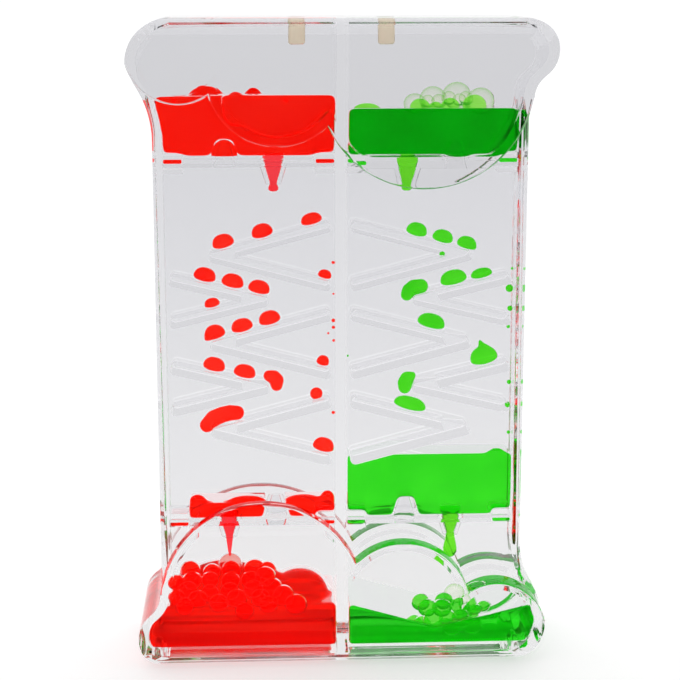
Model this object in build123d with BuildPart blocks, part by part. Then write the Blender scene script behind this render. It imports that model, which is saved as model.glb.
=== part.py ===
from build123d import *
import math
import os

# Liquid motion timer: a sealed clear case with two chambers, each with two drip
# plates, five zigzag ramps and dyed liquid that runs down them as drops.
# X is to the right, Y to the back and Z up. The origin is the middle of the base.

# Case
CASE_H = 138.0
FLARE_W = 88.0
WAIST_W = 78.5
WAIST_D = 16.0
WALL = 2.0
DIVIDER_T = 2.5
EDGE_SOFT = 1.2

# The side walls swing out to the ends: each end has one tall and one short foot
TALL_FOOT_R = 9.0
TALL_FLARE_R = 21.0
SHORT_FOOT_R = 6.5
SHORT_FLARE_R = 5.5

# End pads with a cloud outline of three lobes, proud of the flat panels
BASE_D = 32.0
PAD_TOP_D = 21.5
PAD_FOOT_R = 3.5
PAD_EDGE_SOFT = 0.5
LARGE_LOBE_X = -17.3
LARGE_LOBE_Z = 13.0
MEDIUM_LOBE_X = 13.3
MEDIUM_LOBE_Z = 11.5
MEDIUM_LOBE_R = 14.7
SMALL_LOBE_X = 33.5
SMALL_LOBE_Z = 6.6
SMALL_LOBE_R = 10.8

# Drip plates in their slots
PLATE_Z = 30.0
PLATE_T = 1.6
SLOT_GAP = 0.1
RIB_T = 1.2
RIB_L = 4.2
TAB_T = 0.7
NOZZLE_SPREAD = 5.1
NOZZLE_H = 4.0
NOZZLE_BASE_R = 3.1
NOZZLE_TIP_R = 1.6
BORE_WIDE_R = 2.4
BORE_TIP_R = 0.8
NOZZLE_SIDES = 12

# Ramps: chevrons from the divider side and, between them, from the outer wall
RAMP_T = 2.2
RAMP_PITCH_SHARE = 0.245
LONG_RISE_SHARE = 0.325
SHORT_RISE_SHARE = 0.235
RAMP_GAP = 0.3
RAMP_END_GAP = 1.9
LONG_PASS = 10.5
SHORT_PASS = 15.2

# Fill plugs in the top wall
PLUG_X = 9.2
PLUG_Y = -5.0
PLUG_R = 1.75
PLUG_L = 5.0
PLUG_FIT = 0.05

# Depth of each pool above its plate or floor, and the film between liquid and wall
FILM = 0.1
UPPER_RED_DEPTH = 12.4
UPPER_GREEN_DEPTH = 9.6
MIDDLE_GREEN_DEPTH = 13.7
MIDDLE_RED_DEPTH = 3.3
BOTTOM_RED_DEPTH = 10.8
BOTTOM_GREEN_DEPTH = 8.8

# Drops, the drips that hang from the nozzles, and bubbles
DROP_R = 2.35
DROP_H = 2.6
DROP_D = 4.0
DROP_LIFT = 0.2
DRIP_R = 1.1
DRIP_L = 1.9
BUBBLE_R = 2.6
BUBBLE_D = 8.0
UPPER_BUBBLES_OUT = 2.7
BOTTOM_RED_BUBBLES_OUT = 0.7
BOTTOM_GREEN_BUBBLES_OUT = 5.0

MIDDLE_Z = CASE_H / 2
CHAMBER_D = WAIST_D - 2 * WALL
CHAMBER_OUT = WAIST_W / 2 - WALL
CHAMBER_IN = DIVIDER_T / 2
CHAMBER_MID = (CHAMBER_OUT + CHAMBER_IN) / 2
HOLLOW_TOP = PLATE_Z - PLATE_T / 2 - SLOT_GAP - RIB_T
INNER_NOZZLE_X = CHAMBER_MID - NOZZLE_SPREAD
OUTER_NOZZLE_X = CHAMBER_MID + NOZZLE_SPREAD
LEFT = -1
RIGHT = 1
HALF_TURN = Location((0, 0, CASE_H), (0, 180, 0))
ABOUT_FACE = Location((0, 0, 0), (0, 0, 180))

# The ramps share out the height between the plates
RAMP_PITCH = RAMP_PITCH_SHARE * (CASE_H - 2 * PLATE_Z)
LONG_RISE = LONG_RISE_SHARE * RAMP_PITCH
SHORT_RISE = SHORT_RISE_SHARE * RAMP_PITCH
LONG_END_X = CHAMBER_IN + RAMP_END_GAP
LONG_VERTEX_X = CHAMBER_OUT - LONG_PASS
SHORT_END_X = CHAMBER_OUT - RAMP_END_GAP
SHORT_VERTEX_X = CHAMBER_IN + SHORT_PASS


def side_swing(foot_r, flare_r):
    """Angle that the wall turns through from the waist to the widest place."""
    return math.degrees(math.acos(1 - (FLARE_W - WAIST_W) / 2 / (foot_r + flare_r)))


def foot_height(foot_r, flare_r):
    """Height above the base where the wall starts to swing out."""
    return foot_r + (foot_r + flare_r) * math.sin(math.radians(side_swing(foot_r, flare_r)))


# The large lobe meets the side wall where the short flare starts
LARGE_LOBE_R = math.hypot(
    WAIST_W / 2 + LARGE_LOBE_X,
    foot_height(SHORT_FOOT_R, SHORT_FLARE_R) - LARGE_LOBE_Z,
)
PAD_TOP = LARGE_LOBE_Z + LARGE_LOBE_R
PAD_LEAN = math.degrees(math.atan2((BASE_D - PAD_TOP_D) / 2, PAD_TOP))
LOBES = (
    (LARGE_LOBE_X, LARGE_LOBE_Z, LARGE_LOBE_R),
    (MEDIUM_LOBE_X, MEDIUM_LOBE_Z, MEDIUM_LOBE_R),
    (SMALL_LOBE_X, SMALL_LOBE_Z, SMALL_LOBE_R),
)


def case_outline(inset):
    """Front outline of the case, drawn this far inside its outer face."""
    tall_swing = side_swing(TALL_FOOT_R, TALL_FLARE_R)
    short_swing = side_swing(SHORT_FOOT_R, SHORT_FLARE_R)
    side_x = WAIST_W / 2 - inset
    tall_z = foot_height(TALL_FOOT_R, TALL_FLARE_R)
    with BuildSketch() as outline:
        with BuildLine():
            right_wall = Line((side_x, MIDDLE_Z), (side_x, tall_z))
            tall_flare = JernArc(right_wall @ 1, right_wall % 1, TALL_FLARE_R + inset, tall_swing)
            tall_foot = JernArc(tall_flare @ 1, tall_flare % 1, TALL_FOOT_R - inset, -90 - tall_swing)
            base = Line(tall_foot @ 1, (SHORT_FOOT_R - FLARE_W / 2, inset))
            short_foot = JernArc(base @ 1, base % 1, SHORT_FOOT_R - inset, -90 - short_swing)
            short_flare = JernArc(short_foot @ 1, short_foot % 1, SHORT_FLARE_R + inset, short_swing)
            left_wall = Line(short_flare @ 1, (-side_x, MIDDLE_Z))
            Line(left_wall @ 1, right_wall @ 0)
        make_face()
        with Locations(Location((0, CASE_H), 180)):
            add(outline.sketch_local)
    return outline.sketch_local


def pad_foot(inset):
    """Low part of a pad's outline, under the lobes, up to the two flares."""
    short_side = LARGE_LOBE_X + FLARE_W / 2
    wall_from_lobe = WAIST_W / 2 + LARGE_LOBE_X - inset
    short_top = LARGE_LOBE_Z + math.sqrt((LARGE_LOBE_R - inset) ** 2 - wall_from_lobe**2)
    with BuildSketch() as foot:
        Rectangle(FLARE_W, TALL_FOOT_R, align=(Align.CENTER, Align.MIN))
        with Locations((-FLARE_W / 2, 0)):
            Rectangle(short_side, short_top, align=Align.MIN)
    return foot.sketch_local


def pad_side(inset):
    """Side profile of a lower end: it leans out from the pad's top to the base."""
    with BuildSketch() as profile:
        Trapezoid(BASE_D, PAD_TOP, 90 - PAD_LEAN, align=(Align.CENTER, Align.MIN))
        fillet(profile.vertices().group_by(Axis.Y)[0], PAD_FOOT_R)
        if inset > 0:
            offset(amount=-inset, mode=Mode.REPLACE)
    return profile.sketch_local


def soft_lobe(lobe_x, lobe_z, lobe_r):
    """One lobe of a pad, front and back in one, with its rims softened all round."""
    with BuildPart() as disc:
        with BuildSketch(Plane.XZ):
            with Locations((lobe_x, lobe_z)):
                Circle(lobe_r)
        extrude(amount=BASE_D, both=True)
        with BuildSketch(Plane.YZ):
            with Locations((0, -PAD_TOP)):
                Trapezoid(
                    2 * BASE_D - PAD_TOP_D,
                    3 * PAD_TOP,
                    90 - PAD_LEAN,
                    align=(Align.CENTER, Align.MIN),
                )
        extrude(amount=FLARE_W, both=True, mode=Mode.INTERSECT)
        chamfer(disc.edges().filter_by(GeomType.ELLIPSE), PAD_EDGE_SOFT)
    return disc.part


def end_pad():
    """Solid of a lower end pad, front and back in one."""
    with BuildPart() as pad:
        with BuildSketch(Plane.XZ):
            add(pad_foot(0))
        extrude(amount=BASE_D, both=True)
        for lobe_x, lobe_z, lobe_r in LOBES:
            add(soft_lobe(lobe_x, lobe_z, lobe_r))
        with BuildSketch(Plane.XZ):
            add(case_outline(0))
        extrude(amount=BASE_D, both=True, mode=Mode.INTERSECT)
        with BuildSketch(Plane.YZ):
            add(pad_side(0))
        extrude(amount=FLARE_W, both=True, mode=Mode.INTERSECT)
    return pad.part


def end_hollow(inset):
    """Room inside a lower end pad, up to the ribs under the drip plate."""
    with BuildPart() as hollow:
        with BuildSketch(Plane.XZ):
            add(pad_foot(inset))
            for lobe_x, lobe_z, lobe_r in LOBES:
                with Locations((lobe_x, lobe_z)):
                    Circle(lobe_r - inset)
            add(case_outline(inset), mode=Mode.INTERSECT)
        extrude(amount=BASE_D, both=True)
        with BuildSketch(Plane.YZ):
            add(pad_side(inset))
        extrude(amount=FLARE_W, both=True, mode=Mode.INTERSECT)
        split(bisect_by=Plane.XY.offset(HOLLOW_TOP - inset + WALL), keep=Keep.BOTTOM)
    return hollow.part


def chambers(gap):
    """Room inside both chambers, drawn this far inside every wall and rib."""
    inset = WALL + gap
    hollow = end_hollow(inset)
    rib_room = RIB_L + gap
    rib_middle = (PLATE_T + RIB_T) / 2 + SLOT_GAP
    with BuildPart() as room:
        with BuildSketch(Plane.XZ):
            add(case_outline(inset))
        extrude(amount=WAIST_D / 2 - inset, both=True)
        add(hollow)
        with Locations(HALF_TURN):
            add(hollow)
        with Locations((0, 0, MIDDLE_Z)):
            Box(DIVIDER_T + 2 * gap, 2 * BASE_D, 2 * CASE_H, mode=Mode.SUBTRACT)
        for plate_z in (PLATE_Z, CASE_H - PLATE_Z):
            for rib_z in (plate_z - rib_middle, plate_z + rib_middle):
                for side in (LEFT, RIGHT):
                    rib_places = (
                        (side * (CHAMBER_IN + rib_room / 2), 0, rib_z),
                        (side * (CHAMBER_OUT - rib_room / 2), 0, rib_z),
                    )
                    with Locations(*rib_places):
                        Box(rib_room, 2 * BASE_D, RIB_T + 2 * gap, mode=Mode.SUBTRACT)
    return room.part


def fill_plug(fit):
    """Round plug, flush with the top face, larger all round by the fit."""
    with BuildPart() as plug:
        with Locations((0, 0, CASE_H)):
            Cylinder(PLUG_R + fit, PLUG_L, align=(Align.CENTER, Align.CENTER, Align.MAX))
    return plug.part


def funnel(wide_r, narrow_r, length):
    """Many-sided cone that stands on its wide end."""
    flat_share = math.cos(math.pi / NOZZLE_SIDES)
    with BuildPart() as cone:
        with BuildSketch(Plane.XY):
            RegularPolygon(wide_r, NOZZLE_SIDES)
        extrude(amount=length, taper=math.degrees(math.atan2((wide_r - narrow_r) * flat_share, length)))
    return cone.part


def ramp_arms():
    """Middle line of every ramp arm, as its high end and its tip, from the top down.

    They are for the right chamber and for the case as it stands. Each chevron has
    such a running arm above and its mirror image, used upside down, below.
    """
    arms = []
    for step in (2, 1, 0, -1, -2):
        mid_z = MIDDLE_Z + step * RAMP_PITCH / 2
        if step % 2 == 0:
            arms.append(((LONG_END_X, mid_z + LONG_RISE), (LONG_VERTEX_X, mid_z)))
        else:
            arms.append(((SHORT_END_X, mid_z + SHORT_RISE), (SHORT_VERTEX_X, mid_z)))
    return arms


def ramp_sketch(grown):
    """All ramps of both chambers, seen from the front, thicker all round by this much."""
    with BuildSketch() as ramps:
        for (end_x, end_z), (tip_x, tip_z) in ramp_arms():
            for side in (LEFT, RIGHT):
                for lean in (1, -1):
                    low_z = tip_z + lean * (end_z - tip_z)
                    with Locations((side * (tip_x + end_x) / 2, (tip_z + low_z) / 2)):
                        SlotCenterToCenter(
                            math.hypot(end_x - tip_x, low_z - tip_z),
                            RAMP_T + 2 * grown,
                            rotation=math.degrees(math.atan2(low_z - tip_z, side * (end_x - tip_x))),
                        )
    return ramps.sketch_local


# Outer form of the closed case, with soft edges on the panels and the pads
with BuildPart() as waist:
    with BuildSketch(Plane.XZ):
        add(case_outline(0))
    extrude(amount=WAIST_D / 2, both=True)
    chamfer(waist.faces().filter_by(Axis.Y).edges(), EDGE_SOFT)

soft_pad = end_pad()
with BuildPart() as case_form:
    add(waist.part)
    add(soft_pad)
    with Locations(HALF_TURN):
        add(soft_pad)

case_room = chambers(0)
liquid_room = chambers(FILM)

# Front shell: the near half of the case, with the two filling holes
with BuildPart() as front_shell:
    add(case_form.part)
    add(case_room, mode=Mode.SUBTRACT)
    split(bisect_by=Plane.XZ, keep=Keep.TOP)
    with Locations((-PLUG_X, PLUG_Y, 0), (PLUG_X, PLUG_Y, 0)):
        add(fill_plug(PLUG_FIT), mode=Mode.SUBTRACT)

# Rear shell: the far half, with the ramps that reach almost to the front panel
with BuildPart() as rear_shell:
    add(case_form.part)
    add(case_room, mode=Mode.SUBTRACT)
    split(bisect_by=Plane.XZ, keep=Keep.BOTTOM)
    with BuildSketch(Plane.XZ.offset(-CHAMBER_D / 2 - WALL / 2)):
        add(ramp_sketch(0))
    extrude(amount=CHAMBER_D + WALL / 2 - RAMP_GAP)

# Fill plugs, one for each chamber
plugs = {}
for side, colour in ((LEFT, "red"), (RIGHT, "green")):
    with BuildPart() as plug:
        with Locations((side * PLUG_X, PLUG_Y, 0)):
            add(fill_plug(0))
    plugs[colour + "_fill_plug"] = plug.part

# Drip plate: a flat strip with thin tabs in the slots, one nozzle up and one down
PLATE_L = CHAMBER_OUT - CHAMBER_IN - 2 * SLOT_GAP
with BuildPart() as drip_plate:
    with Locations((-CHAMBER_MID, 0, PLATE_Z)):
        Box(PLATE_L, CHAMBER_D - 2 * SLOT_GAP, PLATE_T)
    tab_places = (
        (-CHAMBER_MID - (PLATE_L - RIB_L) / 2, 0, PLATE_Z - TAB_T / 2),
        (-CHAMBER_MID + (PLATE_L - RIB_L) / 2, 0, PLATE_Z - TAB_T / 2),
    )
    with Locations(*tab_places):
        Box(RIB_L, CHAMBER_D, PLATE_T - TAB_T, mode=Mode.SUBTRACT)
    up_nozzle = Location((-INNER_NOZZLE_X, 0, PLATE_Z))
    down_nozzle = Location((-OUTER_NOZZLE_X, 0, PLATE_Z), (180, 0, 0))
    with Locations(up_nozzle, down_nozzle):
        add(funnel(NOZZLE_BASE_R, NOZZLE_TIP_R, PLATE_T / 2 + NOZZLE_H))
    up_bore = Location((-INNER_NOZZLE_X, 0, PLATE_Z - PLATE_T / 2))
    down_bore = Location((-OUTER_NOZZLE_X, 0, PLATE_Z + PLATE_T / 2), (180, 0, 0))
    with Locations(up_bore, down_bore):
        add(funnel(BORE_WIDE_R, BORE_TIP_R, PLATE_T + NOZZLE_H), mode=Mode.SUBTRACT)

# The same moulding serves in all four places
plate_places = {
    "lower_red_drip_plate": Location(),
    "lower_green_drip_plate": ABOUT_FACE,
    "upper_green_drip_plate": HALF_TURN,
    "upper_red_drip_plate": HALF_TURN * ABOUT_FACE,
}
plates = {}
for plate_name, place in plate_places.items():
    with BuildPart() as plate:
        with Locations(place):
            add(drip_plate.part)
    plates[plate_name] = plate.part


def pool(side, low, high):
    """Dyed liquid that fills a chamber between two heights, clear of nozzles and ramps.

    Oil stays in front of and behind a nozzle that stands up, so its arch goes right through.
    """
    arch_h = PLATE_T / 2 + NOZZLE_H + 2 * FILM
    arch_lean = math.degrees(math.atan2(NOZZLE_BASE_R - NOZZLE_TIP_R, arch_h))
    with BuildPart() as body:
        add(liquid_room)
        with Locations((side * FLARE_W / 2, 0, (low + high) / 2)):
            Box(FLARE_W, 2 * BASE_D, high - low, mode=Mode.INTERSECT)
        up_nozzles = (
            (side * INNER_NOZZLE_X, PLATE_Z),
            (side * OUTER_NOZZLE_X, CASE_H - PLATE_Z),
        )
        with BuildSketch(Plane.XZ):
            with Locations(*up_nozzles):
                Trapezoid(2 * (NOZZLE_BASE_R + FILM), arch_h, 90 - arch_lean, align=(Align.CENTER, Align.MIN))
        extrude(amount=CHAMBER_D / 2, both=True, mode=Mode.SUBTRACT)
        with BuildSketch(Plane.XZ):
            add(ramp_sketch(FILM))
        extrude(amount=CHAMBER_D, both=True, mode=Mode.SUBTRACT)
    return body.part


FLOOR = WALL + FILM
LOWER_PLATE_TOP = PLATE_Z + PLATE_T / 2 + FILM
UPPER_PLATE_TOP = CASE_H - PLATE_Z + PLATE_T / 2 + FILM
pool_levels = (
    ("upper_red_pool", LEFT, UPPER_PLATE_TOP, UPPER_RED_DEPTH),
    ("upper_green_pool", RIGHT, UPPER_PLATE_TOP, UPPER_GREEN_DEPTH),
    ("middle_green_pool", RIGHT, LOWER_PLATE_TOP, MIDDLE_GREEN_DEPTH),
    ("middle_red_film", LEFT, LOWER_PLATE_TOP, MIDDLE_RED_DEPTH),
    ("bottom_red_pool", LEFT, FLOOR, BOTTOM_RED_DEPTH),
    ("bottom_green_pool", RIGHT, FLOOR, BOTTOM_GREEN_DEPTH),
)
pools = {name: pool(side, low, low + depth) for name, side, low, depth in pool_levels}


def drip(side, nozzle_x, plate_z):
    """Liquid in a nozzle that points down, and the drop that hangs from its tip."""
    middle_x = side * nozzle_x
    neck_r = BORE_TIP_R - FILM
    belly_z = plate_z - PLATE_T / 2 - NOZZLE_H - DRIP_L + DRIP_R
    with BuildPart() as hanging:
        with Locations(Location((middle_x, 0, plate_z + PLATE_T / 2), (180, 0, 0))):
            add(funnel(BORE_WIDE_R - FILM, neck_r, PLATE_T + NOZZLE_H))
        with Locations((middle_x, 0, belly_z)):
            add(funnel(DRIP_R, neck_r, DRIP_L - DRIP_R))
        with Locations(Location((middle_x, 0, belly_z), (180, 0, 0))):
            add(funnel(DRIP_R, DRIP_R / 2, DRIP_R))
    return hanging.part


drips = {
    "upper_red_drip": drip(LEFT, INNER_NOZZLE_X, CASE_H - PLATE_Z),
    "upper_green_drip": drip(RIGHT, INNER_NOZZLE_X, CASE_H - PLATE_Z),
    "lower_red_drip": drip(LEFT, OUTER_NOZZLE_X, PLATE_Z),
    "lower_green_drip": drip(RIGHT, OUTER_NOZZLE_X, PLATE_Z),
}


def bubble_bank(side, from_middle, level, count):
    """Row of bubbles that float on a pool, this far outside the middle of its chamber."""
    with BuildPart() as bank:
        with BuildSketch(Plane.XZ):
            with Locations((side * (CHAMBER_MID + from_middle), level + FILM)):
                with GridLocations(2 * BUBBLE_R - FILM, 1, count, 1):
                    Circle(BUBBLE_R)
            with Locations((0, level + FILM)):
                Rectangle(FLARE_W, CASE_H, align=(Align.CENTER, Align.MIN), mode=Mode.INTERSECT)
        extrude(amount=BUBBLE_D / 2, both=True)
    return bank.part


bubble_banks = {
    "upper_red_bubbles": bubble_bank(LEFT, UPPER_BUBBLES_OUT, UPPER_PLATE_TOP + UPPER_RED_DEPTH, 2),
    "upper_green_bubbles": bubble_bank(RIGHT, UPPER_BUBBLES_OUT, UPPER_PLATE_TOP + UPPER_GREEN_DEPTH, 2),
    "bottom_red_bubbles": bubble_bank(LEFT, BOTTOM_RED_BUBBLES_OUT, FLOOR + BOTTOM_RED_DEPTH, 4),
    "bottom_green_bubbles": bubble_bank(RIGHT, BOTTOM_GREEN_BUBBLES_OUT, FLOOR + BOTTOM_GREEN_DEPTH, 2),
}


def arm_spot(side, arm, share, under=False):
    """Plane on top of an arm, this share of its length up from its tip, with its X along the arm."""
    (end_x, end_z), (tip_x, tip_z) = arm
    if under:
        end_z = 2 * tip_z - end_z
    tip = Vector(side * tip_x, 0, tip_z)
    along = Vector(side * end_x, 0, end_z) - tip
    upward = Vector(0, -1, 0).cross(along.normalized())
    if upward.Z < 0:
        upward = -upward
    spot = tip + along * share + upward * (RAMP_T / 2 + DROP_LIFT)
    return Plane(origin=spot, x_dir=along, z_dir=along.cross(upward))


def drop(spot, size):
    """Drop that sits on an arm, flat below and domed above, this many times the usual size."""
    with BuildPart() as body:
        with BuildSketch(spot):
            with Locations((0, size * (DROP_H - DROP_R))):
                Circle(size * DROP_R)
            Rectangle(
                3 * size * DROP_R,
                2 * size * DROP_H,
                align=(Align.CENTER, Align.MIN),
                mode=Mode.INTERSECT,
            )
        extrude(amount=size * DROP_D / 2, both=True)
    return body.part


# Moving drops: for each arm from the top down, their size and how far up the arm each one is
red_runs = (
    (1.0, (0.09, 0.43, 0.87)),
    (1.0, (0.06, 0.365, 0.685)),
    (1.0, (0.02, 0.23, 0.485)),
    (1.0, (0.02, 0.27, 0.6)),
    (1.3, (0.08,)),
)
green_runs = (
    (1.0, (0.03, 0.22, 0.435)),
    (1.0, (0.03, 0.415, 0.75)),
    (1.0, (0.29,)),
    (1.0, (0.03, 0.76)),
    (1.0, (0.49,)),
)
# Drops at rest on the lower arms, in the same way; some arms have none
red_rests = ((0.6, (0.9,)), (0.7, (0.6,)), (1.0, ()), (1.0, ()), (0.8, (0.9,)))
green_rests = ((0.35, (0.31,)), (0.5, (0.87,)), (1.0, ()), (1.0, ()), (1.0, ()))

trains = {}
rests = {}
colours = (
    (LEFT, "red", red_runs, red_rests),
    (RIGHT, "green", green_runs, green_rests),
)
for side, colour, runs, caught in colours:
    with BuildPart() as resting:
        for arm, (size, shares) in zip(ramp_arms(), caught):
            for share in shares:
                add(drop(arm_spot(side, arm, share, under=True), size))
    rests[f"{colour}_resting_drops"] = resting.part
    for number, (arm, (size, shares)) in enumerate(zip(ramp_arms(), runs), start=1):
        with BuildPart() as train:
            for share in shares:
                add(drop(arm_spot(side, arm, share), size))
        trains[f"{colour}_drops_{number}"] = train.part

os.makedirs("parts", exist_ok=True)
pieces = {"front_shell": front_shell.part, "rear_shell": rear_shell.part}
for group in (plugs, plates, pools, drips, bubble_banks, trains, rests):
    pieces.update(group)
for piece_name, piece in pieces.items():
    piece.label = piece_name
    export_step(piece, f"parts/{piece_name}.step")
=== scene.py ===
import math
import random

import bmesh
import bpy
from mathutils import Matrix, Vector


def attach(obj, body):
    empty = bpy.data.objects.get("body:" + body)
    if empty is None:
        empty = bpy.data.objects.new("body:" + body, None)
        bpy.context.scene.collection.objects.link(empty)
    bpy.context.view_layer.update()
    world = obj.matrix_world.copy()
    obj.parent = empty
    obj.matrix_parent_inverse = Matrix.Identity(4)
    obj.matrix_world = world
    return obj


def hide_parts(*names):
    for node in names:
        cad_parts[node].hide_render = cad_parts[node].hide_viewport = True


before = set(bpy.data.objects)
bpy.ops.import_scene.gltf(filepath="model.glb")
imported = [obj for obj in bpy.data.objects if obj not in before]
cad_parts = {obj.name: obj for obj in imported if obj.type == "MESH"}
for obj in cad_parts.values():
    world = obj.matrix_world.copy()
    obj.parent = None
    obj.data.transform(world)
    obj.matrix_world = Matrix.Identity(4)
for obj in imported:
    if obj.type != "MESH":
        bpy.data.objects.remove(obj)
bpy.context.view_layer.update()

# Case: two clear halves, injection moulded in polystyrene and welded together all round.
# Each half has a flat panel, flared ends with cloud-shaped pads, ribs and half of the divider.
# The ramps are moulded on the rear half. Oil wets the inner faces, so those show only faintly.
MM = 0.001
MERGE_DIST = 0.001 * MM
SHARP_EDGE = math.radians(50)
PANEL_WEIGHT = 80
# Painted shade: how fast the tint of the clear plastic changes with height.
HEIGHT_SHADE_PER_M = 9
ROOT_START = 4.2 * MM
ROOT_FULL = 5.6 * MM


class Wire:
    """A socket in a finish. Sums on it add Math nodes."""

    def __init__(self, tree, socket):
        self.tree = tree
        self.socket = socket

    def __add__(self, other):
        return add_node(self.tree, "ShaderNodeMath", {"operation": "ADD"}, {0: self, 1: other})

    def __sub__(self, other):
        return add_node(self.tree, "ShaderNodeMath", {"operation": "SUBTRACT"}, {0: self, 1: other})

    def __rsub__(self, other):
        return add_node(self.tree, "ShaderNodeMath", {"operation": "SUBTRACT"}, {0: other, 1: self})

    def __mul__(self, other):
        return add_node(self.tree, "ShaderNodeMath", {"operation": "MULTIPLY"}, {0: self, 1: other})

    __radd__ = __add__
    __rmul__ = __mul__


def add_node(tree, kind, settings, sockets, out=0):
    """Adds a node: first its settings, then the values or links of its sockets."""
    node = tree.nodes.new(kind)
    for name, value in settings.items():
        if name == "stops":
            for element, (place, colour) in zip(node.color_ramp.elements, value):
                element.position = place
                element.color = colour
        else:
            setattr(node, name, value)
    for name, value in sockets.items():
        if isinstance(value, Wire):
            tree.links.new(value.socket, node.inputs[name])
        else:
            node.inputs[name].default_value = value
    return Wire(tree, node.outputs[out])


def new_finish(name):
    """An empty material, as its node tree and the socket that takes the surface."""
    material = bpy.data.materials.new(name)
    material.use_nodes = True
    tree = material.node_tree
    tree.nodes.clear()
    surface = tree.nodes.new("ShaderNodeOutputMaterial").inputs["Surface"]
    return material, tree, surface


def mottle(tree, scale, detail):
    """Noise from 0 to 1 fixed to the piece."""
    place = add_node(tree, "ShaderNodeTexCoord", {}, {}, "Object")
    return add_node(tree, "ShaderNodeTexNoise", {}, {"Vector": place, "Scale": scale, "Detail": detail})


def tint_between(tree, amount, low, high):
    """Colour that goes from low to high with an amount from 0 to 1."""
    return add_node(
        tree,
        "ShaderNodeMix",
        {"data_type": "RGBA"},
        {"Factor": amount, 6: (*low, 1), 7: (*high, 1)},
        2,
    )


def clear_finish(name, ior, low, high, ripple, polish, shine=1.0, alpha=1.0, painted_root_glow=0.0):
    """Clear moulded plastic: a tint that changes with height (on the case, painted shade that deepens
    upwards), slight ripples and nearly full polish.

    Root glow is painted light: an emission that stands in for the light that the rounded root of a ramp
    gathers beside the rear panel.
    """
    material, tree, surface = new_finish(name)
    flow = mottle(tree, 45, 2)
    place = add_node(tree, "ShaderNodeTexCoord", {}, {}, "Object")
    height = add_node(tree, "ShaderNodeSeparateXYZ", {}, {"Vector": place}, "Z")
    back = add_node(tree, "ShaderNodeSeparateXYZ", {}, {"Vector": place}, "Y")
    painted_root_light = add_node(
        tree,
        "ShaderNodeMapRange",
        {},
        {"Value": back, "From Min": ROOT_START, "From Max": ROOT_FULL, "To Min": 0.0, "To Max": painted_root_glow},
    )
    ripples = add_node(
        tree,
        "ShaderNodeBump",
        {},
        {"Strength": ripple, "Distance": 0.2 * MM, "Height": mottle(tree, 70, 1)},
    )
    plastic = add_node(
        tree,
        "ShaderNodeBsdfPrincipled",
        {},
        {
            # Base colour: the tint with painted shade that changes with height, plus a faint random flow.
            "Base Color": tint_between(tree, height * HEIGHT_SHADE_PER_M + flow * 0.1, low, high),
            "Roughness": flow * polish,
            "IOR": ior,
            "Specular Tint": (shine, shine, shine, 1),
            "Transmission Weight": 1.0,
            # Painted glow at the roots of the ramps.
            "Alpha": alpha,
            "Emission Color": painted_root_light,
            "Emission Strength": 1.0,
            "Normal": ripples,
        },
    )
    tree.links.new(plastic.socket, surface)
    return material


def finish_piece(name, bm, materials, body, slot, *nodes):
    """Makes the piece from its mesh, in place of these nodes."""
    mesh = bpy.data.meshes.new(name)
    bm.to_mesh(mesh)
    bm.free()
    for material in materials:
        mesh.materials.append(material)
    piece = bpy.data.objects.new(name, mesh)
    bpy.context.scene.collection.objects.link(piece)
    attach(piece, body)
    if nodes:
        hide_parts(*nodes)
    return piece


def node_form(node):
    """A joined copy of a node's mesh."""
    bm = bmesh.new()
    bm.from_mesh(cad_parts[node].data)
    bmesh.ops.remove_doubles(bm, verts=bm.verts, dist=MERGE_DIST)
    return bm


def soften(piece, angle):
    """Smooth shading that stays flat on the panels and rounds the narrow edge faces."""
    piece.data.shade_smooth()
    bm = bmesh.new()
    bm.from_mesh(piece.data)
    for edge in bm.edges:
        edge.smooth = not (len(edge.link_faces) == 2 and edge.calc_face_angle(0) > angle)
    bm.to_mesh(piece.data)
    bm.free()
    weighted = piece.modifiers.new("panel normals", "WEIGHTED_NORMAL")
    weighted.keep_sharp = True
    weighted.weight = PANEL_WEIGHT


OUTER, INNER, BONDED, RAMP, END = range(5)
PLUG_PLACES = ((-9.2 * MM, -5.0 * MM), (9.2 * MM, -5.0 * MM))
PLUG_BORE = 1.8 * MM
BORE_FIT = 0.03 * MM
HOLLOW_ROOF = 27.9 * MM
ROOF_FIT = 0.02 * MM
FACING_DOWN = -0.99
SEAM_FIT = 0.002 * MM
CASE_MIDDLE = 69.0
RAMP_ZONE_X = (2.0, 36.6)
RAMP_ZONE_Z = 27.0
REAR_PANEL_Y = 5.9
END_WALLS_Z = (2.5, 124.0)
PANEL_FACING = 0.7


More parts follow.
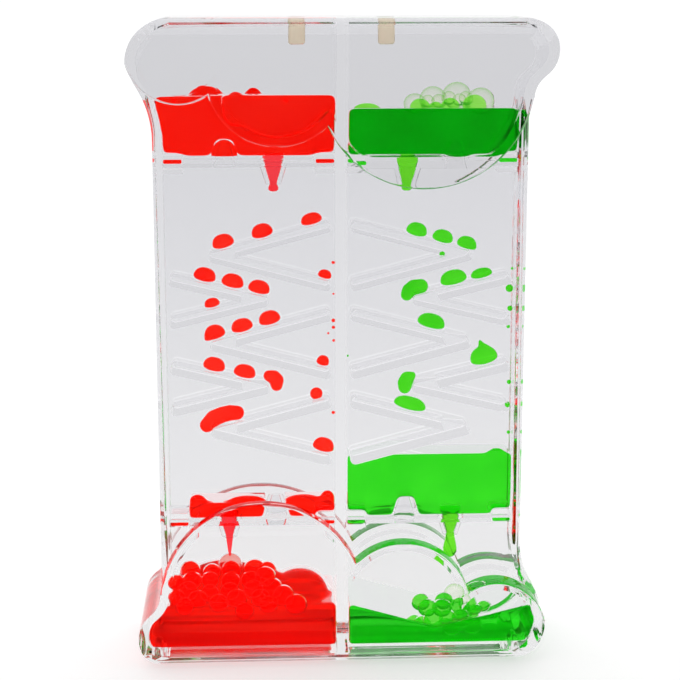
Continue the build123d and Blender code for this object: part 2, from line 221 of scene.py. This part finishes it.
def sort_faces(bm):
    """Marks the faces of a half: weld faces and plug holes, outer skin, ramps, end walls, inner skin.

    The level roof of each lower hollow counts with the weld, because it runs into the curved pad there.
    """
    bonded = set()
    for face in bm.faces:
        corners = [vert.co for vert in face.verts]
        is_level = all(abs(corner.z - HOLLOW_ROOF) < ROOF_FIT for corner in corners)
        on_roof = is_level and face.normal.z < FACING_DOWN
        on_seam = all(abs(corner.y) < SEAM_FIT for corner in corners)
        in_bore = any(
            all(abs(math.hypot(corner.x - x, corner.y - y) - PLUG_BORE) < BORE_FIT for corner in corners)
            for x, y in PLUG_PLACES
        )
        if on_seam or in_bore or on_roof:
            bonded.add(face)
    first = max(bm.faces, key=lambda face: abs(face.calc_center_median().y))
    outer = {first}
    edge_of_skin = [first]
    while edge_of_skin:
        face = edge_of_skin.pop()
        for edge in face.edges:
            for beside in edge.link_faces:
                if beside not in outer and beside not in bonded:
                    outer.add(beside)
                    edge_of_skin.append(beside)
    (ramp_near, ramp_far), (floor_z, roof_z) = RAMP_ZONE_X, END_WALLS_Z
    for face in bm.faces:
        x, y, z = face.calc_center_median() / MM
        among_ramps = ramp_near < abs(x) < ramp_far and abs(z - CASE_MIDDLE) < RAMP_ZONE_Z
        on_ramp = among_ramps and y < REAR_PANEL_Y
        at_end = (z > roof_z or z < floor_z) and abs(face.normal.y) < PANEL_FACING
        if face in bonded:
            face.material_index = BONDED
        elif face in outer:
            face.material_index = OUTER
        else:
            face.material_index = RAMP if on_ramp else END if at_end else INNER


# Outer skin: a grey that is partly the plastic's own tint and partly painted shade, darker towards the top.
outer_skin = clear_finish(
    "clear_outer_skin", 1.5, (0.825, 0.825, 0.83), (0.668, 0.668, 0.692), 0.02, 0.01, shine=0.06
)
inner_skin = clear_finish("clear_inner_skin", 1.05, (0.98, 0.98, 0.98), (0.96, 0.96, 0.965), 0.02, 0.01)
# Ramp skin: its roots beside the rear panel get a painted glow.
ramp_skin = clear_finish(
    "clear_ramp", 1.1, (0.975, 0.975, 0.98), (0.955, 0.955, 0.965), 0.02, 0.01, painted_root_glow=0.22
)
end_skin = clear_finish("clear_end_wall", 1.1, (1.0, 1.0, 1.0), (0.985, 0.985, 0.99), 0.02, 0.01)
weld = clear_finish("clear_weld", 1.5, (1.0, 1.0, 1.0), (0.98, 0.98, 0.98), 0.0, 0.0, alpha=0.0)
for half in ("front", "rear"):
    half_form = node_form(f"{half}_shell")
    sort_faces(half_form)
    shell = finish_piece(
        f"clear_{half}_half",
        half_form,
        (outer_skin, inner_skin, weld, ramp_skin, end_skin),
        "case",
        "clear_case",
        f"{half}_shell",
    )
    soften(shell, SHARP_EDGE)

# Fill plugs: two soft beige pegs, pressed into the top of the case after filling.
# Each has a flat head and a slightly rounded foot.
PLUG_R = 1.72 * MM
PLUG_L = 5.0 * MM
HEAD_CHAMFER = 0.15 * MM
FOOT_CHAMFER = 0.4 * MM
CASE_H = 138 * MM
TURNED_SIDES = 28
POLE_MERGE = 0.002 * MM


def turned(bm, outline, middle):
    """Spins an outline of radius and height about an upright axis."""
    verts = [bm.verts.new((middle[0] + r, middle[1], z)) for r, z in outline]
    edges = [bm.edges.new(pair) for pair in zip(verts, verts[1:])]
    bmesh.ops.spin(
        bm,
        geom=verts + edges,
        cent=(middle[0], middle[1], 0),
        axis=(0, 0, 1),
        angle=math.tau,
        steps=TURNED_SIDES,
        use_merge=True,
    )
    bmesh.ops.remove_doubles(bm, verts=bm.verts, dist=POLE_MERGE)
    bmesh.ops.recalc_face_normals(bm, faces=bm.faces)


def rubber_finish():
    """Beige rubber: a little uneven in colour, dull, with a fine grain."""
    material, tree, surface = new_finish("plug_rubber")
    grain = mottle(tree, 900, 3)
    rubber = add_node(
        tree,
        "ShaderNodeBsdfPrincipled",
        {},
        {
            "Base Color": tint_between(tree, grain, (1.0, 0.78, 0.6), (1.0, 0.94, 0.7)),
            "Roughness": 0.25 + 0.2 * grain,
            "IOR": 1.1,
            "Transmission Weight": 0.95,
            "Normal": add_node(
                tree, "ShaderNodeBump", {}, {"Strength": 0.1, "Distance": 0.05 * MM, "Height": grain}
            ),
        },
    )
    tree.links.new(rubber.socket, surface)
    return material


plug_rubber = rubber_finish()
for plug_name, plug_place in zip(("red", "green"), PLUG_PLACES):
    plug_form = bmesh.new()
    plug_outline = (
        (0, CASE_H),
        (PLUG_R - HEAD_CHAMFER, CASE_H),
        (PLUG_R, CASE_H - HEAD_CHAMFER),
        (PLUG_R, CASE_H - PLUG_L + FOOT_CHAMFER),
        (PLUG_R - FOOT_CHAMFER, CASE_H - PLUG_L),
        (0, CASE_H - PLUG_L),
    )
    turned(plug_form, plug_outline, plug_place)
    plug = finish_piece(
        f"{plug_name}_plug", plug_form, (plug_rubber,), "case", "plug", f"{plug_name}_fill_plug"
    )
    soften(plug, SHARP_EDGE)

# Drip plates: four clear strips with thin tabs in the slots, each with one nozzle up and one down.
# They are moulded in the same plastic and stand in oil.
PLATE_SHARP_EDGE = math.radians(40)
plate_plastic = clear_finish("clear_plate", 1.04, (0.93, 0.93, 0.94), (0.98, 0.98, 0.98), 0.03, 0.02)
for level in ("upper", "lower"):
    for colour in ("red", "green"):
        plate_node = f"{level}_{colour}_drip_plate"
        plate = finish_piece(
            f"{level}_{colour}_plate",
            node_form(plate_node),
            (plate_plastic,),
            "case",
            "clear_plate",
            plate_node,
        )
        soften(plate, PLATE_SHARP_EDGE)

# Pools: dyed water that stands above the plates and on the floor of the case, under the oil.
# It doesn't mix with the oil, so every edge of it is drawn round, and bumps stand on it.
STREAK_SCALE = 110
STREAK_CONTRAST = 3.4
STREAK_SHIFT = 1.1
POOL_GRAIN = 0.38 * MM
LEVEL_FIT = 0.01 * MM


def liquid_finish(name, dark, bright, painted_glow, ior, layers=1.0):
    """Dyed water in oil: strong colour with slow streaks, flat if layered, and a little painted glow in its
    own colour.
    """
    material, tree, surface = new_finish(name)
    place = add_node(tree, "ShaderNodeTexCoord", {}, {}, "Object")
    flattened = add_node(
        tree,
        "ShaderNodeVectorMath",
        {"operation": "MULTIPLY"},
        {0: place, 1: (1 / layers, 1 / layers, layers)},
    )
    streaks = add_node(
        tree, "ShaderNodeTexNoise", {}, {"Vector": flattened, "Scale": STREAK_SCALE, "Detail": 2}
    )
    colour = tint_between(tree, streaks * STREAK_CONTRAST - STREAK_SHIFT, dark, bright)
    liquid = add_node(
        tree,
        "ShaderNodeBsdfPrincipled",
        {},
        {
            "Base Color": colour,
            "Roughness": 0.02 * streaks,
            "IOR": ior,
            "Transmission Weight": 1.0,
            # Painted glow: the liquid shines in its own colour, though it is no lamp.
            "Emission Color": colour,
            "Emission Strength": painted_glow,
        },
    )
    tree.links.new(liquid.socket, surface)
    return material


def orb(bm, middle, radii, flat=1.0):
    """Round bump or bubble in millimetres, with its lower half flattened to a share of its height."""
    made = bmesh.ops.create_uvsphere(bm, u_segments=24, v_segments=14, radius=1)
    for vert in made["verts"]:
        if vert.co.z < 0:
            vert.co.z *= flat
    bmesh.ops.scale(bm, vec=Vector(radii) * MM, verts=made["verts"])
    bmesh.ops.translate(bm, vec=Vector(middle) * MM, verts=made["verts"])


def melt(piece, grain, rounds):
    """Joins the parts of a liquid into one skin and rounds it as surface tension does."""
    joined = piece.modifiers.new("one skin", "REMESH")
    joined.mode = "VOXEL"
    joined.voxel_size = grain
    joined.use_smooth_shade = True
    tension = piece.modifiers.new("surface tension", "SMOOTH")
    tension.factor = 0.5
    tension.iterations = rounds


def trimmed(bm, place, normal):
    """Cuts off what lies beyond a plane, on the side that its normal points to, and closes the cut."""
    everything = bm.verts[:] + bm.edges[:] + bm.faces[:]
    bmesh.ops.bisect_plane(
        bm, geom=everything, plane_co=Vector(place) * MM, plane_no=normal, clear_outer=True
    )
    bmesh.ops.holes_fill(bm, edges=[edge for edge in bm.edges if edge.is_boundary])


# The fourth number of each liquid is its painted glow.
red_liquid = liquid_finish("red_liquid", (0.96, 0.004, 0.001), (1.0, 0.012, 0.004), 0.16, 0.975)
low_red = liquid_finish("low_red_liquid", (0.52, 0.002, 0.001), (1.0, 0.01, 0.004), 0.14, 0.96, layers=6)
deep_green = liquid_finish("deep_green_liquid", (0.0006, 0.42, 0.001), (0.001, 0.5, 0.003), 0.02, 0.975)
mid_green = liquid_finish("mid_green_liquid", (0.03, 0.76, 0.012), (0.045, 0.84, 0.018), 0.05, 0.96)
low_green = liquid_finish("low_green_liquid", (0.003, 0.34, 0.004), (0.03, 0.9, 0.02), 0.04, 0.92, layers=6)
ABOVE_PLATE = ((0, 0, 109.5), (0, 0, -1))
ABOVE_FLOOR = ((0, 0, 3.9), (0, 0, -1))
LEFT_SLOPE = ((20.5, 0, 7.4), (0.28, 0, 1))
RIGHT_SLOPE = ((20.5, 0, 7.4), (-0.22, 0, 1))
FILM_END = ((-33.0, 0, 33), (-1, 0, 0))
pools = (
    (
        "upper_red_pool",
        red_liquid,
        40,
        1.4,
        ((ABOVE_PLATE,),),
        (
            ((-28.3, 6.5, 122.4), (4.0, 3.0, 2.5)),
            ((-18.2, 6.5, 122.3), (1.9, 1.9, 2.2)),
            ((-21.8, -8.2, 119.8), (2.9, 2.8, 3.8)),
        ),
    ),
    (
        "upper_green_pool",
        deep_green,
        40,
        1.4,
        ((ABOVE_PLATE,),),
        (((30.0, 0, 119.5), (5, 8, 1.2)), ((24.35, 0, 109.0), (4.4, 9.5, 5.6))),
    ),
    ("middle_green_pool", mid_green, 18, 0, ((),), (((33.9, -4.4, 43.9), (2.3, 1.4, 1.9)),)),
    (
        "middle_red_film",
        red_liquid,
        14,
        0,
        ((FILM_END,),),
        (
            ((-31.2, -3.0, 33.9), (2.1, 2.4, 1.9)),
            ((-2.9, -3.0, 34.3), (1.7, 2.4, 2.1)),
            ((-8.2, -2.0, 33.6), (4.4, 4.0, 1.7)),
            ((-20.4, -2.5, 33.6), (4.5, 3.4, 1.7)),
        ),
    ),
    (
        "bottom_red_pool",
        low_red,
        18,
        0,
        ((ABOVE_FLOOR,),),
        (
            ((-9.0, 0, 12.4), (6.6, 9.5, 5.4)),
            ((-25.5, 1.5, 12.5), (10.5, 8.6, 7.0)),
            ((-32.2, 1.5, 12.5), (4.6, 8.2, 5.6)),
            ((-17.5, 1.5, 12.5), (5.5, 8.2, 6.2)),
        ),
    ),
    (
        "bottom_green_pool",
        low_green,
        18,
        1.6,
        ((LEFT_SLOPE, ABOVE_FLOOR), (RIGHT_SLOPE, ABOVE_FLOOR)),
        (),
    ),
)
for pool_node, dye, rounds, rise, copies, bumps in pools:
    pool_form = bmesh.new()
    for cuts in copies:
        part = node_form(pool_node)
        level = max(vert.co.z for vert in part.verts)
        for vert in part.verts:
            if vert.co.z > level - LEVEL_FIT:
                vert.co.z += rise * MM
        for middle, radii in bumps:
            orb(part, middle, radii)
        for place, normal in cuts:
            trimmed(part, place, normal)
        part_mesh = bpy.data.meshes.new("part of a pool")
        part.to_mesh(part_mesh)
        part.free()
        pool_form.from_mesh(part_mesh)
        bpy.data.meshes.remove(part_mesh)
    colour = "red" if "red" in pool_node else "green"
    pool = finish_piece(
        pool_node + "_water", pool_form, (dye,), "case", f"{colour}_liquid", pool_node
    )
    melt(pool, POOL_GRAIN, rounds)

# Domes on the upper pools: a red one that stands in front of the raised nozzle, with oil round it,
# and a light green lump. They are drops that have met the pool without merging.
DOME_FOOT = 0.05
DOME_GRAIN = 0.15 * MM
DOME_ROUNDS = 6
light_green = liquid_finish("light_green_liquid", (0.22, 0.88, 0.06), (0.4, 0.97, 0.16), 0.05, 0.97)
domes = (
    ("red_nozzle_dome", red_liquid, "red_liquid", (-24.35, -4.9, 109.6), (2.8, 0.95, 3.4)),
    ("green_lump", light_green, "green_liquid", (5.3, -4.6, 119.5), (2.9, 2.4, 1.5)),
)
for dome_name, dye, slot, middle, radii in domes:
    dome_form = bmesh.new()
    orb(dome_form, middle, radii, DOME_FOOT)
    dome = finish_piece(dome_name, dome_form, (dye,), "case", slot)
    melt(dome, DOME_GRAIN, DOME_ROUNDS)

# Liquid in the slots: flat strips of dyed water caught beside the tabs of the drip plates.
# The slots are wider than the tabs, so each strip keeps the form of the room that is left.
STRIP = (3.9, 11.2, 0.85)
STRIP_ROUND = 0.38 * MM
SLOTS_X = (35.15, 3.35)
SLOTS_Z = (108.4, 29.6)
for colour, side, dye in (("red", -1, red_liquid), ("green", 1, mid_green)):
    strip_form = bmesh.new()
    for slot_z in SLOTS_Z:
        for slot_x in SLOTS_X:
            strip_middle = Vector((side * slot_x, 0, slot_z)) * MM
            made = bmesh.ops.create_cube(strip_form, size=1)
            bmesh.ops.scale(strip_form, vec=Vector(STRIP) * MM, verts=made["verts"])
            bmesh.ops.translate(strip_form, vec=strip_middle, verts=made["verts"])
    bmesh.ops.bevel(
        strip_form,
        geom=strip_form.edges[:],
        offset=STRIP_ROUND,
        affect="EDGES",
        segments=3,
        profile=0.5,
        material=-1,
    )
    strips = finish_piece(f"{colour}_slot_strips", strip_form, (dye,), "case", f"{colour}_liquid")
    strips.data.shade_smooth()

# Drips: dyed water in the nozzles that point down, with a bead that hangs from each tip.
# The thin stream lets more light through, so it looks pinker or paler than the pools.
thin_red = liquid_finish("thin_red_liquid", (1.0, 0.035, 0.045), (1.0, 0.06, 0.075), 0.14, 0.95)
thin_green = liquid_finish("thin_green_liquid", (0.09, 0.75, 0.015), (0.18, 0.85, 0.03), 0.06, 0.95)
NOZZLES = {"upper": (14.15, 108.7), "lower": (24.35, 30.7)}
CONE = ((0, 1.0), (2.3, 1.0), (2.35, 0), (2.15, -0.6), (1.5, -2.9), (0.85, -4.9))
BEAD = ((0.78, -5.5), (0.95, -5.8), (1.14, -6.3), (1.1, -6.7), (0.7, -7.05), (0, -7.1))
POINT = ((0.78, -5.6), (0.6, -7.2), (0.34, -9.1), (0, -9.6))
BULB = (
    (0.95, -5.4), (1.1, -6.4), (1.38, -7.6), (1.58, -8.7),
    (1.5, -9.6), (1.05, -10.4), (0.5, -10.75), (0, -10.8),
)
TIPS = {"upper red": BEAD, "upper green": BEAD, "lower red": POINT, "lower green": BULB}
for level, (nozzle_x, plate_top) in NOZZLES.items():
    for colour, side, dye in (("red", -1, thin_red), ("green", 1, thin_green)):
        drip_form = bmesh.new()
        outline = [(r * MM, (plate_top + z) * MM) for r, z in CONE + TIPS[f"{level} {colour}"]]
        turned(drip_form, outline, (side * nozzle_x * MM, 0))
        drip = finish_piece(
            f"{level}_{colour}_drip_water",
            drip_form,
            (dye,),
            "case",
            f"{colour}_liquid",
            f"{level}_{colour}_drip",
        )
        drip.data.shade_smooth()

# Bubbles: drops that have landed and not yet merged. They lie in a pile on the lower pools,
# and as pale foam on the upper ones. Each keeps its own round skin.
pile_red = liquid_finish("pile_red", (0.98, 0.006, 0.002), (1.0, 0.014, 0.006), 0.16, 0.9)
pile_green = liquid_finish("pile_green", (0.05, 0.7, 0.03), (0.2, 0.86, 0.08), 0.05, 0.9)


def foam_finish(name, heart, skin):
    """Thin-skinned bubble: pale to look through, with the dye along its rim."""
    material, tree, surface = new_finish(name)
    rim = add_node(tree, "ShaderNodeLayerWeight", {}, {"Blend": 0.5}, "Facing")
    cloud = mottle(tree, 300, 2)
    foam = add_node(
        tree,
        "ShaderNodeBsdfPrincipled",
        {},
        {
            "Base Color": tint_between(tree, rim * rim * 1.3 + cloud * 0.2 - 0.1, heart, skin),
            "Roughness": 0.03 * cloud,
            "IOR": 0.95,
            "Transmission Weight": 1.0,
        },
    )
    tree.links.new(foam.socket, surface)
    return material


foam_green = foam_finish("foam_green", (0.95, 0.99, 0.88), (0.3, 0.78, 0.14))
foam_red = foam_finish("foam_red", (1.0, 0.42, 0.38), (1.0, 0.3, 0.26))
banks = (
    (
        "bottom_red_bubbles",
        pile_red,
        "red_bubbles",
        (
            (-5.2, ((-32.9, 21.3, 2.3), (-28.2, 20.5, 2.0), (-24.0, 21.2, 2.3))),
            (-5.2, ((-18.9, 21.5, 2.5), (-16.2, 20.9, 2.1))),
            (-7.0, ((-36.0, 18.8, 1.8), (-32.5, 19.5, 2.2), (-28.6, 19.3, 2.0))),
            (-7.0, ((-24.2, 19.2, 2.2), (-19.8, 19.2, 2.2))),
            (-6.8, ((-16.6, 20.3, 2.3),)),
            (-7.8, ((-33.4, 17.5, 2.2), (-28.7, 16.7, 2.1), (-24.4, 17.0, 2.2))),
            (-7.8, ((-19.3, 17.5, 2.2), (-15.1, 17.8, 2.3))),
            (-8.6, ((-35.9, 15.7, 1.9), (-31.3, 15.6, 2.1), (-22.9, 15.7, 2.3))),
            (-8.6, ((-17.8, 15.6, 2.1), (-12.7, 16.5, 2.4))),
            (-9.2, ((-34.2, 14.1, 2.1), (-26.8, 14.9, 2.2), (-10.0, 14.6, 2.5))),
            (-9.2, ((-16.0, 14.1, 2.1), (-21.2, 12.9, 2.1))),
        ),
    ),
    ("red_plume", foam_red, "red_bubbles", ((-5.0, ((-24.2, 22.8, 2.6),)),)),
    (
        "bottom_green_bubbles",
        pile_green,
        "green_bubbles",
        (
            (-4.8, ((17.5, 12.9, 2.1), (27.8, 12.6, 2.1), (31.4, 11.0, 2.2))),
            (-4.8, ((33.4, 10.2, 1.9), (22.6, 13.0, 2.2))),
            (-6.2, ((18.8, 12.0, 2.1), (22.1, 12.1, 2.2), (26.2, 12.2, 2.2), (29.6, 10.6, 1.9))),
            (-7.6, ((20.1, 10.1, 2.2), (26.3, 10.0, 2.3), (23.2, 9.6, 1.9))),
            (-8.8, ((24.1, 8.2, 2.1), (28.7, 8.6, 2.1))),
        ),
    ),
    ("green_plume", foam_green, "green_bubbles", ((-4.6, ((24.9, 14.8, 2.3),)),)),
    (
        "upper_green_bubbles",
        foam_green,
        "green_bubbles",
        (
            (-1.5, ((15.4, 123.0, 2.4), (19.2, 124.5, 2.8), (24.2, 125.4, 3.1), (29.2, 124.2, 3.0))),
            (-3.4, ((18.0, 122.6, 1.4), (20.4, 122.8, 1.6), (22.4, 123.4, 1.5))),
            (-3.4, ((24.6, 122.9, 1.4), (26.0, 123.4, 1.5))),
        ),
    ),
    (
        "green_foam_feet",
        light_green,
        "green_bubbles",
        ((-5.2, ((16.3, 121.9, 2.2), (22.6, 122.0, 2.0), (27.6, 122.7, 2.6), (19.6, 121.2, 1.5))),),
    ),
    (
        "upper_red_bubbles",
        thin_red,
        "red_bubbles",
        ((-1.0, ((-27.9, 122.8, 0.9), (-34.6, 122.4, 0.5), (-11.5, 122.2, 0.6))),),
    ),
)
LEAST_HEIGHT = 0.92
DEPTH_SPREAD = 0.3
FEET_FLAT = 0.3
shuffle = random.Random(5)
for bank_name, dye, slot, rows in banks:
    bank_form = bmesh.new()
    for depth, bubbles in rows:
        for x, top, r in bubbles:
            tall = r * shuffle.uniform(LEAST_HEIGHT, 1.0)
            place = (x, depth + DEPTH_SPREAD * shuffle.uniform(-1, 1), top - tall)
            orb(bank_form, place, (r, r, tall), FEET_FLAT if dye is light_green else 1.0)
    replaced = [bank_name] if bank_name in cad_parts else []
    bank = finish_piece(bank_name + "_water", bank_form, (dye,), "case", slot, *replaced)
    bank.data.shade_smooth()

# Running drops: beads of dyed water that slide down the ramp arms, flat below and domed above.
# A bead that reaches the end of its arm droops over the lip before it falls.
drop_red = liquid_finish("drop_red_liquid", (1.0, 0.01, 0.004), (1.0, 0.026, 0.012), 0.17, 0.96)
drop_green = liquid_finish("drop_green_liquid", (0.05, 0.72, 0.01), (0.09, 0.82, 0.02), 0.06, 0.96)
DROP_LIFT = 1.12
DROP_Y = -2.5
DROP_FULLNESS = 0.14
DROP_POLE = 0.01
DROP_FOOT = 0.45
DROP_DEPTH = 0.46
DROOP_START = 0.1
STRING_STEPS = 6
STRING_DEPTH = 1.1
TRAIN_GRAIN = 0.16 * MM
TRAIN_ROUNDS = 26
RAMP_PITCH = 9.555
LONG_ARM = (3.15, 26.75, 6.211)
SHORT_ARM = (35.35, 16.45, 4.491)
RAMP_ARMS = []
for step in (2, 1, 0, -1, -2):
    mid_z = CASE_MIDDLE + RAMP_PITCH * step
    end_x, tip_x, climb = SHORT_ARM if step % 2 else LONG_ARM
    RAMP_ARMS.append(((end_x, mid_z + climb), (tip_x, mid_z)))


def drop_on(bm, side, arm, share, length, height, droop, under=False):
    """Bead on an arm, this share of the way up from its tip, drooping at its lower end."""
    (end_x, end_z), (tip_x, tip_z) = arm
    if under:
        end_z = 2 * tip_z - end_z
    tip = Vector((side * tip_x, DROP_Y, tip_z))
    along = Vector((side * end_x, DROP_Y, end_z)) - tip
    uphill = along.normalized()
    across = Vector((0, 1, 0))
    up = uphill.cross(across)
    if up.z < 0:
        up = -up
    place = Matrix((uphill, across, up)).transposed().to_4x4()
    place.translation = (tip + along * share + up * DROP_LIFT) * MM
    made = bmesh.ops.create_uvsphere(bm, u_segments=28, v_segments=18, radius=1)
    for vert in made["verts"]:
        x, y, z = vert.co
        wide = math.hypot(x, y)
        fuller = wide ** -DROP_FULLNESS if wide > DROP_POLE else 1.0
        z = z if z > 0 else z * DROP_FOOT
        reach = max(0.0, -x * fuller - DROOP_START)
        z = (z + DROP_FOOT) * height / (1 + DROP_FOOT) - droop * reach**2
        vert.co = Vector((x * fuller * length / 2, y * fuller * length * DROP_DEPTH, z)) * MM
    bmesh.ops.transform(bm, matrix=place, verts=made["verts"])


def string_of_orbs(bm, stations):
    """Close row of orbs between stations of place and radius, that melt into one bent drop."""
    for near, far in zip(stations, stations[1:]):
        for part in range(STRING_STEPS + 1):
            x, z, r = Vector(near).lerp(Vector(far), part / STRING_STEPS)
            orb(bm, (x, DROP_Y, z), (r, r * STRING_DEPTH, r))


trains = {
    "red": (
        ((0.105, 4.9, 3.2, 0), (0.455, 4.8, 3.2, 0), (0.895, 4.8, 2.7, 0)),
        ((0.078, 4.9, 3.1, 0), (0.375, 5.0, 3.2, 0), (0.685, 5.0, 3.2, 0)),
        ((0.015, 4.9, 3.3, 0.6), (0.265, 4.9, 3.1, 0), (0.515, 4.9, 3.2, 0)),
        ((0.25, 5.0, 3.1, 0), (0.595, 5.0, 3.2, 0)),
        (),
    ),
    "green": (
        ((0.016, 4.6, 2.9, 0.3), (0.236, 4.7, 3.0, 0), (0.472, 4.7, 3.1, 0)),
        ((0.438, 6.0, 3.4, 0), (0.75, 4.9, 2.3, 0)),
        ((0.333, 6.3, 3.4, 0),),
        ((0.8, 6.2, 4.1, 0),),
        ((0.52, 7.4, 3.1, 0),),
    ),
}
hanging = {
    "red_drops_4": (((-15.4, 62.0, 1.3), (-14.4, 61.7, 1.6), (-13.8, 61.0, 1.65), (-13.8, 59.9, 1.35)),),
    "red_drops_5": (
        (
            (-22.4, 53.9, 1.65), (-23.9, 53.9, 1.8), (-25.6, 53.5, 1.85),
            (-27.4, 52.7, 1.9), (-28.9, 51.2, 1.65),
        ),
    ),
    "green_drops_2": (((17.2, 81.3, 1.65), (15.7, 81.1, 1.75), (14.7, 80.4, 1.65), (14.2, 79.5, 1.4)),),
    "green_drops_4": (
        ((15.4, 61.7, 0.95), (14.4, 61.1, 1.6), (14.0, 60.1, 1.75), (13.9, 59.2, 1.5)),
        ((30.1, 69.05, 0.45), (30.35, 68.4, 0.65), (31.2, 66.9, 1.6)),
    ),
}
for colour, side, dye in (("red", -1, drop_red), ("green", 1, drop_green)):
    for number, (arm, beads) in enumerate(zip(RAMP_ARMS, trains[colour]), start=1):
        train_form = bmesh.new()
        for share, length, height, droop in beads:
            drop_on(train_form, side, arm, share, length, height, droop)
        train_node = f"{colour}_drops_{number}"
        for stations in hanging.get(train_node, ()):
            string_of_orbs(train_form, stations)
        bmesh.ops.recalc_face_normals(train_form, faces=train_form.faces)
        train = finish_piece(
            train_node + "_water", train_form, (dye,), train_node, f"{colour}_liquid", train_node
        )
        melt(train, TRAIN_GRAIN, TRAIN_ROUNDS)

# Resting drops: small beads that stay on the lower arms, and specks on the divider and the wall.
# They cling to the plastic until a larger drop takes them along.
SPECK_Y = -1.0
rests = {
    "red": (
        -1,
        drop_red,
        ((0, 0.97, 3.0, 2.0), (1, 0.555, 3.4, 2.1), (2, 0.95, 2.8, 2.3), (4, 0.95, 4.8, 3.2)),
        (
            (-1.55, 86.4, 0.35), (-1.5, 73.8, 0.42), (-1.5, 72.3, 0.36), (-1.45, 69.4, 0.3),
            (-1.55, 53.4, 0.36), (-1.5, 79.6, 0.22), (-5.2, 57.7, 1.4), (-2.6, 71.0, 0.25),
        ),
    ),
    "green": (
        1,
        drop_green,
        ((0, 0.2, 1.3, 0.9),),
        (
            (36.4, 80.5, 0.85), (36.6, 76.1, 0.6), (36.3, 72.1, 0.4), (36.7, 59.8, 0.5),
            (36.4, 54.8, 0.6), (36.8, 48.5, 0.4), (36.9, 84.8, 0.3), (1.6, 66.0, 0.25),
        ),
    ),
}
for colour, (side, dye, beads, specks) in rests.items():
    rest_form = bmesh.new()
    for arm_number, share, length, height in beads:
        drop_on(rest_form, side, RAMP_ARMS[arm_number], share, length, height, 0, under=True)
    for x, z, r in specks:
        orb(rest_form, (x, SPECK_Y, z), (r, r, r))
    bmesh.ops.recalc_face_normals(rest_form, faces=rest_form.faces)
    rest = finish_piece(
        f"{colour}_resting_water",
        rest_form,
        (dye,),
        "case",
        f"{colour}_liquid",
        f"{colour}_resting_drops",
    )
    rest.data.shade_smooth()

# Stage: a white floor that runs far back, soft light all round and the camera of the photograph.
# The floor glows only where it is seen, directly, mirrored or through the plastic, so it looks white.
FLOOR_HALF = 40
FLOOR_GAP = 0.05 * MM
FLOOR_GLOW = 0.62
SIDE_LIGHT = (0.12, 0.12, 0.12, 1)
WHITE = (1, 1, 1, 1)
floor_form = bmesh.new()
bmesh.ops.create_grid(floor_form, x_segments=8, y_segments=8, size=FLOOR_HALF)
floor_mesh = bpy.data.meshes.new("floor")
floor_form.to_mesh(floor_mesh)
floor_form.free()
floor = bpy.data.objects.new("floor", floor_mesh)
bpy.context.scene.collection.objects.link(floor)
floor.location.z = -FLOOR_GAP
floor_paint, floor_tree, floor_surface = new_finish("white_floor")
seen, mirrored, through = (
    add_node(floor_tree, "ShaderNodeLightPath", {}, {}, way)
    for way in ("Is Camera Ray", "Is Glossy Ray", "Is Transmission Ray")
)
in_view = add_node(
    floor_tree, "ShaderNodeMath", {"operation": "ADD", "use_clamp": True}, {0: seen + mirrored, 1: through}
)
paint = add_node(
    floor_tree,
    "ShaderNodeBsdfPrincipled",
    {},
    {
        "Base Color": (0.8, 0.8, 0.8, 1),
        "Roughness": 0.9,
        "Specular IOR Level": 0.0,
        "Emission Color": in_view * FLOOR_GLOW,
        "Emission Strength": 1.0,
    },
)
floor_tree.links.new(paint.socket, floor_surface)
floor_mesh.materials.append(floor_paint)

world = bpy.data.worlds.new("studio")
bpy.context.scene.world = world
world.use_nodes = True
sky = world.node_tree
sky.nodes.clear()
toward = add_node(sky, "ShaderNodeTexCoord", {}, {}, "Generated")
back = add_node(sky, "ShaderNodeSeparateXYZ", {}, {"Vector": toward}, "Y")
shade = add_node(
    sky,
    "ShaderNodeValToRGB",
    {"stops": ((0.36, SIDE_LIGHT), (0.66, WHITE))},
    {"Fac": back * 0.5 + 0.5},
)
light = add_node(sky, "ShaderNodeBackground", {}, {"Color": shade, "Strength": 1.0})
backdrop = add_node(sky, "ShaderNodeBackground", {}, {"Color": WHITE, "Strength": 1.0})
direct = add_node(sky, "ShaderNodeLightPath", {}, {}, "Is Camera Ray")
room = add_node(sky, "ShaderNodeMixShader", {}, {0: direct, 1: light, 2: backdrop})
sky.links.new(room.socket, sky.nodes.new("ShaderNodeOutputWorld").inputs["Surface"])

lamp_data = bpy.data.lights.new("softbox", "AREA")
lamp_data.size = 0.8
lamp_data.energy = 0.6
lamp = bpy.data.objects.new("softbox", lamp_data)
lamp.location = (-0.5, -0.4, 1.1)
lamp.rotation_euler = (Vector((0, 0, 0.07)) - lamp.location).to_track_quat("-Z", "Y").to_euler()
bpy.context.scene.collection.objects.link(lamp)

camera_data = bpy.data.cameras.new("camera")
camera_data.lens = 92.36
camera_data.sensor_width = 36
camera_data.shift_x = 0.00063
camera_data.shift_y = 0.00094
camera = bpy.data.objects.new("camera", camera_data)
camera.location = (-18.496 * MM, -370.228 * MM, 147.55 * MM)
camera.rotation_euler = (math.radians(90 - 12.01), 0, math.radians(-2.86))
bpy.context.scene.collection.objects.link(camera)
bpy.context.scene.camera = camera

bpy.context.scene.view_settings.view_transform = "Standard"
bpy.context.scene.cycles.max_bounces = 40
bpy.context.scene.cycles.transmission_bounces = 40
bpy.context.scene.cycles.glossy_bounces = 12
